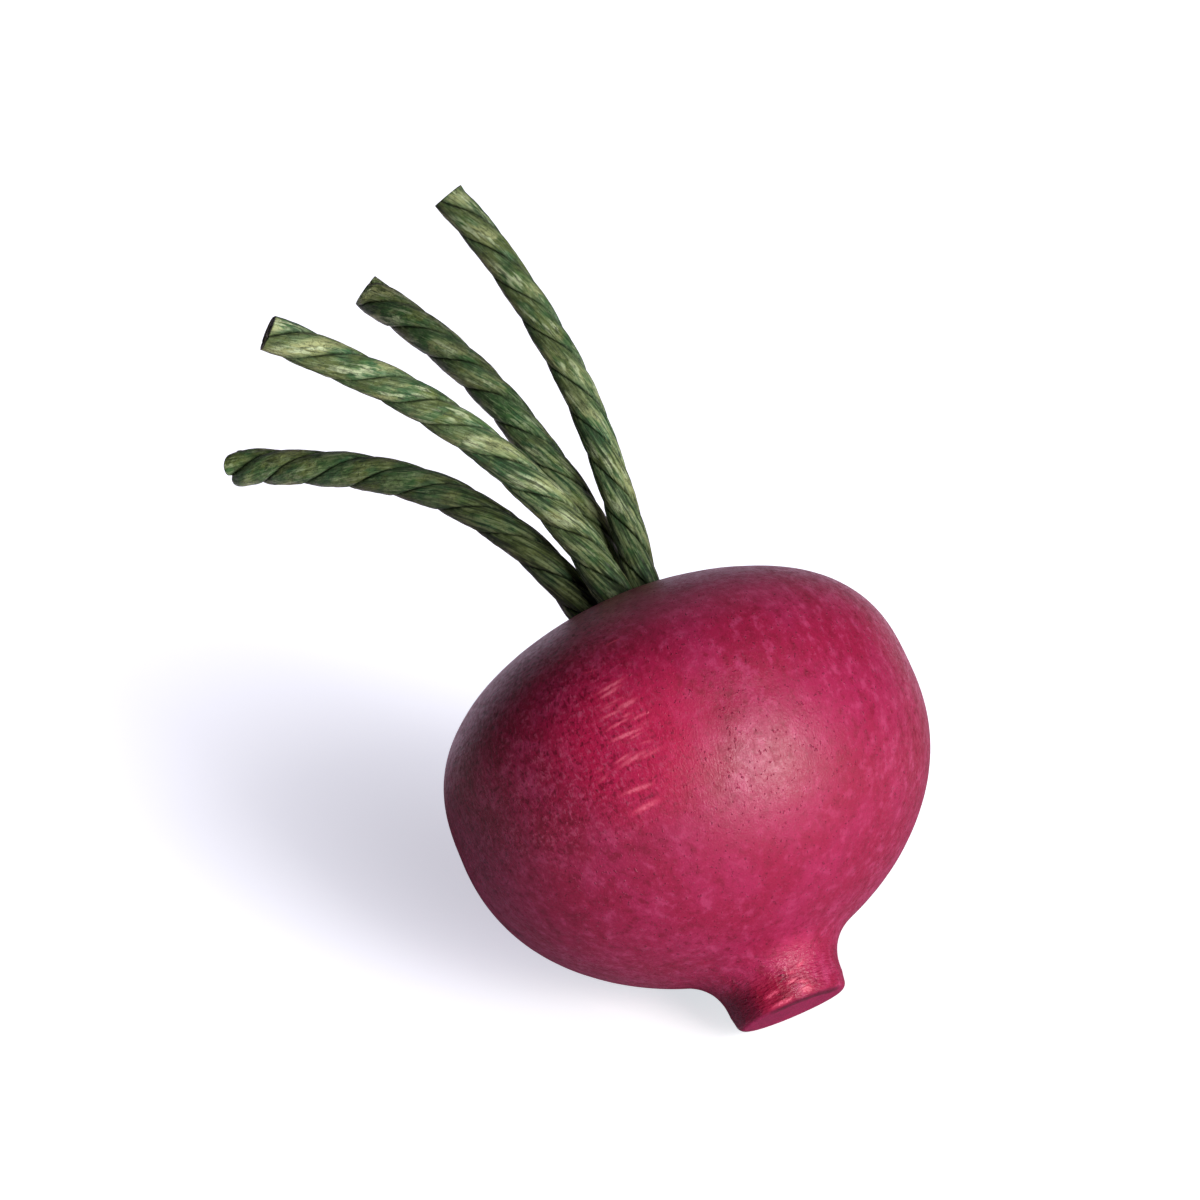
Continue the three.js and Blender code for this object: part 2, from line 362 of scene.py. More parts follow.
# `route` is as in the CAD part, and `thickness` is 1 to 2 % less. A seam crosses the side that faces `side`
# (degrees round the cord) at the length `first_seam`, and the next one `lay` further on, in mm. `lay_seed`
# seeds how the lay strays, and was picked so that the seams lie near the photo's. `opening` is how far the
# plies part at the cut end, `shows` is how squarely that end faces the camera (0 is edge on; None leaves it
# square to the cord), and `drawn` is how far, in mm, it is pulled out past the end of the route.
STEMS = {
    "stem_upright": {
        "thickness": 0.935, "opening": 0.05, "shows": -0.03, "drawn": 0.3, "side": 147, "seed": 20,
        "first_seam": 16.2, "lay": 6.1, "lay_seed": 1333,
        "route": [
            [2, 4.25, 30], [2.5, 5, 40.75], [2.5, 4.5, 51.75],
            [1.75, 3, 62.75], [0.75, 0.5, 72.25],
        ],
    },
    "stem_back": {
        "thickness": 1.02, "opening": 0.08, "shows": -0.10, "drawn": 0.5, "side": 139, "seed": 30,
        "first_seam": 26.6, "lay": 6.5, "lay_seed": 2246,
        "route": [
            [-2.75, 2.5, 30.75], [-5.25, 1.5, 42.75], [-9, 0.5, 52.75],
            [-15, -0.5, 62.5], [-21.5, -1.5, 70.75],
        ],
    },
    "stem_low": {
        "thickness": 1.01, "opening": 1.0, "shows": None, "drawn": 0.1, "side": 38, "seed": 40,
        "first_seam": 26.6, "lay": 6.4, "lay_seed": 2913,
        "route": [
            [-3.75, -5, 29.75], [-8.5, -8.5, 39.25], [-15.5, -12.5, 46.75],
            [-24, -16.5, 52.5], [-34, -20, 57.75],
        ],
    },
    "stem_front": {
        "thickness": 1.035, "opening": 0.1, "shows": 0.13, "drawn": 0.0, "side": 144, "seed": 50,
        "first_seam": 17.6, "lay": 5.9, "lay_seed": 1190,
        "route": [
            [2, -3, 30.5], [0.75, -7, 40.5], [-0.75, -12.75, 49.75],
            [-2.5, -20, 57.75], [-3.5, -26, 63.25],
        ],
    },
}


def catmull_rom(points):
    """A centripetal Catmull-Rom curve through the points."""
    points = np.asarray(points, float)
    padded = np.concatenate([[2 * points[0] - points[1]], points, [2 * points[-1] - points[-2]]])
    t = np.linspace(0, 1, SPAN_STEPS, endpoint=False)[:, None]
    spans = []
    for i in range(len(points) - 1):
        p0, p1, p2, p3 = padded[i : i + 4]
        d0, d1, d2 = (math.sqrt(np.linalg.norm(b - a)) for a, b in ((p0, p1), (p1, p2), (p2, p3)))
        t1 = ((p1 - p0) / d0 - (p2 - p0) / (d0 + d1) + (p2 - p1) / d1) * d1
        t2 = ((p2 - p1) / d1 - (p3 - p1) / (d1 + d2) + (p3 - p2) / d2) * d1
        spans.append(p1 + t1 * t + (3 * (p2 - p1) - 2 * t1 - t2) * t**2 + (2 * (p1 - p2) + t1 + t2) * t**3)
    return np.concatenate(spans + [points[-1:]])


def stem_place(index):
    """Where a stem stands in the hole, in mm: the stems are spaced evenly round the axis."""
    angle = FIRST_STEM_ANGLE + 2 * math.pi * index / len(STEMS)
    return STEM_CIRCLE_RADIUS * math.cos(angle), STEM_CIRCLE_RADIUS * math.sin(angle)


def cord_path(index, route):
    """Lengths along a stem, its middle line, and two directions across it that don't twist along it."""
    x, y = stem_place(index)
    curve = catmull_rom([[x, y, STEM_FOOT_Z], [x, y, STEM_STRAIGHT_TO_Z]] + route)
    length = np.concatenate([[0], np.cumsum(np.linalg.norm(np.diff(curve, axis=0), axis=1))])
    s = np.linspace(0, length[-1], int(round(length[-1] / CORD_STEP)) + 1)
    middle = np.stack([np.interp(s, length, curve[:, k]) for k in range(3)], -1)
    along = np.gradient(middle, s, axis=0)
    along /= np.linalg.norm(along, axis=1)[:, None]
    across = np.zeros_like(middle)
    across[0] = np.cross(along[0], np.cross(along[0], [0.0, 1.0, 0.0]))
    for i in range(len(s)):
        previous = across[max(i - 1, 0)]
        kept = previous - along[i] * (previous @ along[i])
        across[i] = kept / np.linalg.norm(kept)
    return s, middle, along, across, np.cross(along, across)


def near_tip(lengths, reach):
    """0 along the cord, rising to 1 over the last `reach` of its length."""
    return smoothstep(lengths, np.max(lengths) - reach, np.max(lengths))


def seam_angle(s, facts):
    """The angle round the cord of its first seam, at each length: it turns to the left, not quite evenly."""
    uneven = s + LAY_UNEVENNESS * wander(s, LAY_WAVE, facts["lay_seed"])
    return math.radians(facts["side"]) - PLY_TURN * (uneven - facts["first_seam"]) / facts["lay"]


def line_places(first, second, lengths):
    """Places for noise that changes with the length alone, on a line of its own for each `second`."""
    still = 0 * lengths
    return np.stack([first + still, second + still, lengths], -1)


def pressed_plies(ply, ply_x, lengths, parted, seed):
    """The radius of flattened round plies, pressed together with one edge over the next, and the seams."""
    lines = line_places(0.5, 7.3 * ply, lengths / 5.0)
    seam_lines = line_places(3.5, 5.1 * (ply + (ply_x > 0)), lengths / 3.5)
    seam_breadth = SEAM_BREADTH * (1 + 0.4 * noise(seam_lines, seed + 1)) * (1 + 1.2 * parted)
    seam = np.exp(-(((1 - np.abs(ply_x)) / seam_breadth) ** 1.4))
    crown = PLY_CROWN + 0.08 * noise(lines, seed + 2)
    pressed = CORD_RADIUS - crown * np.abs(ply_x) ** 2.4 - (SEAM_DEPTH + 0.3 * parted) * seam
    pressed += -PLY_OVERLAP * ply_x**3 * (1 - seam) + 0.10 * noise(lines + 40.0, seed + 3)
    half_turn = ply_x * math.pi / PLIES
    inner = np.maximum(LONE_RADIUS**2 - (LONE_OUT * np.sin(half_turn)) ** 2, 0.0)
    lone = LONE_OUT * np.cos(half_turn) + np.sqrt(inner)
    return pressed + (lone - pressed) * 0.45 * parted, seam


def creased(radius, seam, cord, seed):
    """The radius with the folds of the paper, and the creases between them."""
    folded = cord / [1.0, 1.0, 9.0]
    fold = np.abs(noise(folded / 0.95, seed + 4)) * 0.65 + np.abs(noise(folded / 0.40, seed + 5)) * 0.35
    crease = np.exp(-((fold / 0.09) ** 2))
    beside_seam = 1 - 0.8 * seam
    radius = radius + beside_seam * (0.10 * (fold - 0.3) - 0.06 * crease)
    radius += 0.03 * noise(cord / [1.0, 1.0, 1.2] * 1.6, seed + 6)
    return radius, crease * beside_seam


def waver(s, seed):
    """How far the cord's line wavers to one side, in mm."""
    return (0.09 * wander(s, 6.0, seed) + 0.04 * wander(s, 2.5, seed + 1))[:, None]


def cut_slant(rings, middle, along, lengths, shows):
    """How far along the cord each point moves, so that the cut end faces the camera as `shows` says."""
    to_camera = CAMERA_AT - middle[-1]
    to_camera /= np.linalg.norm(to_camera)
    seen = along[-1] @ to_camera
    slope = (seen - shows) / (1 - seen**2)
    slant = slope * ((rings - middle[:, None]) @ to_camera) * near_tip(lengths, SLANT_LENGTH)
    return slant[..., None] * along[:, None]


def cut_rings(rim, middle, outward, angle, opening, seed):
    """Rings from the rim of a cut end to its middle: three plies of rolled paper, parted along the seams."""
    made = []
    ply_angle = angle[0] + (np.arange(PLIES) + 0.5) * PLY_TURN
    ply = np.argmax([np.cos(angle - a) for a in ply_angle], axis=0)
    between = np.abs(np.cos((angle - ply_angle[0]) * PLIES / 2))
    rim_radius = np.linalg.norm(rim - middle, axis=1)
    for size in CUT_SIZES:
        radius = rim_radius * size
        x, y = radius * np.cos(angle), radius * np.sin(angle)
        dx = x - ROLL_MIDDLE * np.cos(ply_angle[ply])
        dy = y - ROLL_MIDDLE * np.sin(ply_angle[ply])
        wound = np.sin(2 * math.pi * np.hypot(dx, dy) / ROLL_STEP + np.arctan2(dy, dx))
        gap = np.exp(-((between * radius / GAP_BREADTH) ** 2))
        gap_depth = (GAP_DEPTH + 0.8 * opening) * gap * smoothstep(size, 0.0, 0.5)
        rough = noise(np.stack([x, y, 0 * x], -1) / 0.4, seed + 12)
        depth = 0.10 * smoothstep(1 - size, 0.0, 0.08) + 0.05 * wound + 0.06 * rough
        depth = depth * smoothstep(1 - size, 0.0, 0.1) + gap_depth
        if size == 0.0:
            depth = np.full_like(depth, GAP_DEPTH)
        made.append(middle + (rim - middle) * size - outward * depth[:, None])
    return np.array(made)


def make_stem(name, index, facts):
    """A stem of twisted paper cord, with the places, relief and dye that its material reads."""
    s, middle, along, across, beside = cord_path(index, facts["route"])
    opening, seed = facts["opening"], facts["seed"]
    middle += facts["drawn"] * along[-1] * near_tip(s, DRAWN_LENGTH)[:, None]
    u = np.linspace(-1, 1, PLY_POINTS, endpoint=False)
    closer_at_seams = 0.55 * u + 0.45 * u * (1.5 - 0.5 * u * u)
    ply_x = np.tile(closer_at_seams, PLIES)[None, :]
    ply = np.repeat(np.arange(PLIES), PLY_POINTS)[None, :]
    turn = seam_angle(s, facts)[:, None]
    angle = turn + (ply + 0.5 + ply_x / 2) * PLY_TURN
    lengths = s[:, None] + 0 * ply_x
    drift = angle - 0.36 * turn  # the paper's folds run nearer to the cord's length than the seams do
    cord = np.stack([CORD_RADIUS * np.cos(drift), CORD_RADIUS * np.sin(drift), lengths], -1)

    parted = opening * near_tip(lengths, TIP_LENGTH)
    radius, seam = pressed_plies(ply, ply_x, lengths, parted, seed)
    radius, crease = creased(radius, seam, cord, seed)
    radius *= facts["thickness"] * (1 + 0.05 * parted)
    offset_u = radius * np.cos(angle) + waver(s, seed + 7)
    offset_v = radius * np.sin(angle) + waver(s, seed + 9)
    rings = middle[:, None] + offset_u[..., None] * across[:, None] + offset_v[..., None] * beside[:, None]
    if facts["shows"] is not None:
        rings += cut_slant(rings, middle, along, lengths, facts["shows"])
    relief = np.stack([seam, crease, ply_x + 0 * seam], -1)
    dye_lines = line_places(0.5, 11.7 * ply, lengths / 4.5)
    dye_places = (dye_lines, dye_lines + 20.0, dye_lines * 1.7)
    dye = np.stack([noise(places, seed + 13 + i) for i, places in enumerate(dye_places)], -1)

    tip = cut_rings(rings[-1], middle[-1], along[-1], angle[-1], opening, seed)
    foot = cut_rings(rings[0], middle[0], -along[0], angle[0], 0.0, seed + 5)[::-1]
    count = len(CUT_SIZES)
    sizes = np.ones((count, 1, 3))
    sizes[..., :2] = CUT_SIZES[:, None, None]
    # The cut ends carry the seams' painted shade
    cut = np.tile(CUT_END_SHADE, (count, rings.shape[1], 1))
    attributes = {
        "cord": np.concatenate([cord[:1] * sizes[::-1], cord, cord[-1:] * sizes]),
        "relief": np.concatenate([cut, relief, cut]),
        "dye": np.concatenate([dye[:1].repeat(count, 0), dye, dye[-1:].repeat(count, 0)]),
    }
    rings = np.concatenate([foot, rings, tip])
    return make_piece("twisted_" + name, rings, attributes, "root", "paper_" + name.split("_")[1], name)


# ---- glue at the bottom of the stem hole
GLUE_BOTTOM_Z = 11.6
GLUE_RADIUS = 5.55
GLUE_LEVEL_Z = 14.6
GLUE_POST_TOP_Z = 18.4
GLUE_POST_RADIUS = 1.15
GLUE_SEGMENTS = 96
GLUE_TOP_RINGS = 46
GLUED_RADIUS = 1.9  # of a cord where the glue meets it
CORD_CLIMB = 1.6  # how far the glue climbs a cord, in mm
WALL_CLIMB = 0.9


def make_glue():
    """A pool of set glue that climbs the cords and the wall, and wells up between the four cords."""
    radii = np.concatenate([[0.0], np.linspace(0.12, GLUE_RADIUS, GLUE_TOP_RINGS)])
    phi = np.linspace(0, 2 * math.pi, GLUE_SEGMENTS, endpoint=False)
    x, y = radii[:, None] * np.cos(phi), radii[:, None] * np.sin(phi)
    post = np.exp(-((radii[:, None] / GLUE_POST_RADIUS) ** 2))
    top = np.full(x.shape, GLUE_LEVEL_Z) + (GLUE_POST_TOP_Z - GLUE_LEVEL_Z) * post
    for index in range(len(STEMS)):
        stem_x, stem_y = stem_place(index)
        beyond_cord = np.maximum(np.hypot(x - stem_x, y - stem_y) - GLUED_RADIUS, 0)
        top = np.maximum(top, GLUE_LEVEL_Z + CORD_CLIMB * np.exp(-beyond_cord / 0.35))
    top += WALL_CLIMB * np.exp(-(GLUE_RADIUS - radii[:, None]) / 0.4)
    top += 0.25 * noise(np.stack([x, y, 0 * x], -1) / 1.3, 61)
    top[0] = top[0].mean()
    bottom = np.full(GLUE_SEGMENTS, GLUE_BOTTOM_Z)
    rings = [np.stack([x[0], y[0], bottom], -1)]
    for radius in (1.5, 3.0, 4.5, GLUE_RADIUS - 0.2):
        rings.append(np.stack([radius * np.cos(phi), radius * np.sin(phi), bottom], -1))
    for share in (0.08, 0.3, 0.6, 0.85):
        side = GLUE_BOTTOM_Z + (top[-1] - GLUE_BOTTOM_Z) * share
        rings.append(np.stack([x[-1], y[-1], side], -1))
    for i in range(len(radii) - 1, -1, -1):
        rings.append(np.stack([x[i], y[i], top[i]], -1))
    rings = np.array(rings)[::-1]
    return make_piece("glue_pool", rings, {"cord": rings}, "root", "set_glue", "stem_glue")


bulb = make_bulb()
stems = {name: make_stem(name, index, facts) for index, (name, facts) in enumerate(STEMS.items())}
glue = make_glue()


# ---- materials
def rgb(red, green, blue):
    """A linear colour."""
    return (red, green, blue, 1.0)


class Nodes:
    """Short names for building a node tree."""

    def __init__(self, owner, output="OutputMaterial", palette=None, first=None):
        owner.use_nodes = True
        self.owner = owner
        self.palette = palette
        self.colour = palette and rgb(*palette[first])
        self.tree = owner.node_tree
        self.tree.nodes.clear()
        self.output = self.tree.nodes.new("ShaderNode" + output)

    def add(self, kind, inputs=None, **settings):
        node = self.tree.nodes.new("ShaderNode" + kind)
        for key, value in settings.items():
            setattr(node, key, value)
        for key, value in (inputs or {}).items():
            self.put(node.inputs[key], value)
        return node

    def put(self, socket, value):
        """A link, where the value is another node's, or else a plain value."""
        if isinstance(value, bpy.types.NodeSocket):
            self.tree.links.new(value, socket)
        else:
            socket.default_value = value

    def attribute(self, name):
        return self.add("Attribute", attribute_name=name).outputs["Vector"]

    def split(self, vector):
        return self.add("SeparateXYZ", {"Vector": vector}).outputs

    def scaled(self, vector, scale, shift=(0.0, 0.0, 0.0)):
        return self.add("Mapping", {"Vector": vector, "Scale": scale, "Location": shift}).outputs["Vector"]

    def noise(self, vector, scale=1.0, detail=2.0, rough=0.5, distortion=0.0):
        inputs = {"Vector": vector, "Scale": scale, "Detail": detail, "Roughness": rough}
        return self.add("TexNoise", inputs | {"Distortion": distortion}).outputs["Fac"]

    def pattern(self, vector, scale, shift=(0.0, 0.0, 0.0), **look):
        """Noise with about `scale` features a mm along each axis."""
        return self.noise(self.scaled(vector, scale, shift), **look)

    def ramp(self, value, low, high, to_low=0.0, to_high=1.0, smooth=True):
        """`to_low` up to `low`, `to_high` from `high`, and a rise between them. `low` may be the greater."""
        kind = "SMOOTHSTEP" if smooth else "LINEAR"
        inputs = {"Value": value, "From Min": low, "From Max": high, "To Min": to_low, "To Max": to_high}
        return self.add("MapRange", inputs, interpolation_type=kind).outputs["Result"]

    def math(self, operation, a, b=0.0, c=0.0):
        return self.add("Math", {0: a, 1: b, 2: c}, operation=operation).outputs[0]

    def times(self, a, b):
        return self.math("MULTIPLY", a, b)

    def times_plus(self, a, b, c):
        return self.math("MULTIPLY_ADD", a, b, c)

    def vector(self, operation, a, b=(0.0, 0.0, 0.0), output="Value"):
        return self.add("VectorMath", {0: a, 1: b}, operation=operation).outputs[output]

    def mix(self, share, a, b, blend="MIX"):
        """Colour `a` with a share of colour `b`: a Mix node's sockets 6, 7 and 2 are those for colours."""
        node = self.add("Mix", data_type="RGBA", blend_type=blend)
        self.put(node.inputs[0], share)
        self.put(node.inputs[6], a)
        self.put(node.inputs[7], b)
        return node.outputs[2]

    def paint(self, name, share, strength=None):
        """Moves the material's colour towards one of its palette, by a share and a strength."""
        if strength is not None:
            share = self.times(share, strength)
        self.colour = self.mix(share, self.colour, rgb(*self.palette[name]))

    def bump(self, height, distance, strength):
        inputs = {"Height": height, "Distance": distance, "Strength": strength}
        return self.add("Bump", inputs).outputs["Normal"]

    def spot(self, vector, middle, reach):
        """1 at a point, falling to 0 at the distance `reach`."""
        return self.ramp(self.vector("DISTANCE", vector, middle), reach * 0.35, reach, 1.0, 0.0)

    def surface(self, rough, normal, ior):
        """The finished material, in the colour that it was painted."""
        inputs = {"Base Color": self.colour, "Roughness": rough, "Normal": normal, "IOR": ior}
        return self.finish(self.add("BsdfPrincipled", inputs).outputs["BSDF"])

    def finish(self, shader):
        self.tree.links.new(shader, self.output.inputs["Surface"])
        return self.owner


# ---- stained wood
WOOD = {
    "stain": (0.38, 0.012, 0.063),
    "lighter stain": (0.44, 0.020, 0.095),
    "pale blotch": (0.56, 0.055, 0.165),
    "dark blotch": (0.27, 0.007, 0.038),
    "crown": (0.60, 0.05, 0.16),
    "scraped": (0.62, 0.012, 0.085),
    "pale speck": (0.64, 0.08, 0.19),
    "dark speck": (0.20, 0.003, 0.027),
    "pale fibre": (0.64, 0.10, 0.21),
    "dark fibre": (0.17, 0.003, 0.022),
    "dark ring": (0.15, 0.003, 0.025),
    # Painted highlight on the top of the root
    "pale ring": (0.55, 0.07, 0.17),
    "pore": (0.19, 0.005, 0.035),
    "painted_root_highlight": (0.68, 0.05, 0.16),
    # Painted shade on the foot of the root, on the side turned from the light
    "red root shade": (0.33, 0.003, 0.034),
    "dark root shade": (0.12, 0.001, 0.022),
    "sawn end": (0.39, 0.012, 0.10),
    # Painted shade along the upper half of the root's rim
    "rim shade": (0.11, 0.003, 0.022),
    "groove": (0.11, 0.002, 0.015),
    "halo_and_highlight": (0.66, 0.035, 0.115),
    "streak_and_highlight": (0.92, 0.16, 0.27),
}
WOOD_IOR = 1.5
FIGURE_SIDE = (math.cos(math.radians(-70)), math.sin(math.radians(-70)), 0.0)  # across the growth rings

# Lengths round the bulb are measured at the one radius, and lengths round the root at the other, in mm
BELLY_RADIUS = 27.4
NECK_RADIUS = 6.7
NECK_TOP = -23.0

# Spots on the bulb: the middle, in its own frame, and the reach, in mm
CALM_SPOT = ((21.0, -3.0, -15.0), 19.0)  # an even stain
SHADE_SPOT = ((-20.0, -17.0, -3.0), 26.0)  # clear growth rings
SCRAPED_SPOT = ((20.7, -18.0, 1.0), 12.0)  # bright red
# Painted highlight: the root is painted paler and pinker where the light catches its top
ROOT_HIGHLIGHT_SPOT = ((6.6, -1.3, -24.6), 4.0)  # paler, above the root

# Marks left by the turning tool, in patches of rows that run round the axis: the heights of the first and
# the last row in mm, how many rows, how many marks a row has, and the angles that they lie between, in
# degrees. Then the least and the most of a mark's length and half breadth in mm, and of its strength. The
# patches and the two seeds were picked so that the marks lie about where the photo shows them
PATCH_FACTS = ("heights", "rows", "marks", "angles", "length", "half_breadth", "strength")
PALE_MARKS_AND_HIGHLIGHT = [
    ((7.3, -1.6), 11, 2, (-47.5, -33.0), (1.6, 4.4), (0.24, 0.44), (0.25, 0.95)),
    ((-4.3, -6.1), 2, 1, (-48.5, -38.5), (3.6, 4.4), (0.34, 0.50), (0.50, 0.90)),
    ((12.0, 9.9), 2, 1, (-50.0, -31.0), (1.2, 2.4), (0.20, 0.24), (0.40, 0.55)),
    ((-0.7, -1.8), 2, 1, (-54.0, -47.0), (1.4, 2.1), (0.28, 0.34), (0.40, 0.60)),
    ((-26.2, -27.5), 2, 2, (-28.0, -1.0), (1.0, 1.7), (0.24, 0.34), (0.45, 0.75)),
    ((-27.9, -29.0), 2, 2, (-57.0, -20.0), (1.4, 2.6), (0.24, 0.32), (0.55, 0.85)),
    # Painted highlight: this broad pale mark stands for the highlight on the root, and the two rows above lie
    # in that highlight and stand partly for it
    ((-28.5, -28.5), 1, 1, (-20.0, -2.0), (2.0, 2.1), (0.55, 0.60), (0.70, 0.80)),
]
DARK_PATCHES = [
    ((4.8, 0.6), 5, 1, (-45.0, -34.0), (2.2, 3.2), (0.22, 0.28), (0.50, 0.75)),
    ((-5.4, -5.4), 1, 1, (-46.0, -38.5), (2.8, 3.0), (0.26, 0.28), (0.60, 0.65)),
    ((-25.9, -27.2), 2, 2, (-38.0, -3.0), (1.2, 2.0), (0.18, 0.26), (0.40, 0.80)),
    ((-28.1, -28.6), 2, 1, (-47.0, -25.0), (1.8, 2.2), (0.20, 0.22), (0.55, 0.65)),
]
PALE_SEED = 499
DARK_SEED = 198
MARK_SHIFT = 0.3  # how far a mark strays from its row, in mm
MARK_FALL = 0.5  # how much lower or higher its far end may lie
MARK_REACH = 0.58  # of its length: half of it, and a little past each end
NO_MARK = 9.0  # the distance where no mark is near


def tool_marks(patches, seed):
    """For each mark: its middle, its run round the bulb, its fall, half its breadth, and its strength."""
    random = np.random.default_rng(seed)
    for patch in patches:
        facts = dict(zip(PATCH_FACTS, patch))
        first, last = facts["angles"]
        for row in np.linspace(*facts["heights"], facts["rows"]):
            radius = NECK_RADIUS if row < NECK_TOP else BELLY_RADIUS
            for _ in range(facts["marks"]):
                run = random.uniform(*facts["length"])
                start = random.uniform(first, last - math.degrees(run / radius))
                height = row + random.uniform(-MARK_SHIFT, MARK_SHIFT)
                fall = random.uniform(-MARK_FALL, MARK_FALL)
                half_breadth = random.uniform(*facts["half_breadth"])
                strength = random.uniform(*facts["strength"])
                middle = (radius * math.radians(start) + run / 2, height - fall / 2, 0.0)
                yield middle, run, fall, half_breadth, strength


def nearest_mark(n, place, patches, seed):
    """Distance from the nearest mark, 1 at its edge. `place` is the lengths round and along, in mm, and 1."""
    nearest = NO_MARK
    for middle, run, fall, half_breadth, strength in tool_marks(patches, seed):
        faint = 0.3 + 0.85 * (1 - strength)  # the least distance there is, so a faint mark is never near
        inputs = {
            "Vector": place,
            "Location": middle,
            "Rotation": (0.0, 0.0, math.atan2(-fall, run)),
            "Scale": (math.hypot(run, fall) * MARK_REACH, half_breadth, 1 / faint),
        }
        inside = n.add("Mapping", inputs, vector_type="TEXTURE").outputs["Vector"]
        nearest = n.math("MINIMUM", nearest, n.vector("LENGTH", inside))
    return nearest


def paint_stain(n, turned, height, calm):
    """The stain, in blotches where the wood drank more or less of it. Returns the blotches."""
    blotch = n.pattern(turned, (0.20, 0.20, 0.14))
    n.paint("lighter stain", n.ramp(blotch, 0.35, 0.65))
    cloud = n.pattern(turned, (0.72, 0.72, 0.60), (7.0, 3.0, 1.0), detail=4.0, rough=0.62)
    strength = n.ramp(calm, 0.0, 1.0, 0.85, 0.5)
    n.paint("pale blotch", n.ramp(cloud, 0.50, 0.69), strength)
    n.paint("dark blotch", n.ramp(cloud, 0.47, 0.31), strength)
    n.paint("crown", n.ramp(height, 9.0, 17.0, 0.0, 0.35))
    scraped = n.spot(turned, *SCRAPED_SPOT)
    n.paint("scraped", scraped, 0.65)
    return cloud


def paint_flecks(n, turned, skin, figure, calm):
    """Specks all over, and bolder ones and fibres on the figured sides. Returns the specks and fibres."""
    speck = n.pattern(turned, (1.9, 1.9, 1.6), detail=3.0, rough=0.65)
    bold = n.math("ADD", n.times_plus(figure, 0.72, 0.45), n.times(calm, -0.15))
    pale = n.times(n.ramp(speck, 0.54, 0.72), bold)
    dark = n.times(n.ramp(speck, 0.46, 0.30), bold)
    n.paint("pale speck", pale, 0.65)
    n.paint("dark speck", dark, 0.8)
    fibre = n.pattern(turned, (2.4, 2.4, 1.15), (3.0, 8.0, 1.0), rough=0.6, distortion=0.6)
    across = n.pattern(skin, (16.0, 16.0, 1.8), (5.0, 2.0, 7.0), detail=1.0)
    crossed = n.times_plus(across, 0.35, n.times(fibre, 0.65))
    pale_fibre = n.times(n.ramp(crossed, 0.53, 0.66), figure)
    dark_fibre = n.times(n.ramp(crossed, 0.47, 0.34), figure)
    n.paint("pale fibre", pale_fibre, 0.65)
    n.paint("dark fibre", dark_fibre, 0.75)
    return speck, crossed


def paint_rings(n, turned, height, across_rings, shade):
    """Growth rings, cut into fine wavy lines where the surface lies steeply to them. Returns the rings."""
    warp = n.pattern(turned, (0.12, 0.12, 0.12))
    level = n.times_plus(across_rings, 22.0, n.times(warp, 7.0))
    drawn_out = n.times(height, 0.07)
    ring_place = n.add("CombineXYZ", {"X": level, "Y": drawn_out}).outputs["Vector"]
    ring = n.noise(ring_place, rough=0.65)
    dark = n.times(n.ramp(ring, 0.47, 0.36), n.times_plus(shade, 0.62, 0.10))
    n.paint("dark ring", dark)
    pale = n.times(n.ramp(ring, 0.55, 0.68), n.times(shade, 0.4))
    n.paint("pale ring", pale)
    return ring


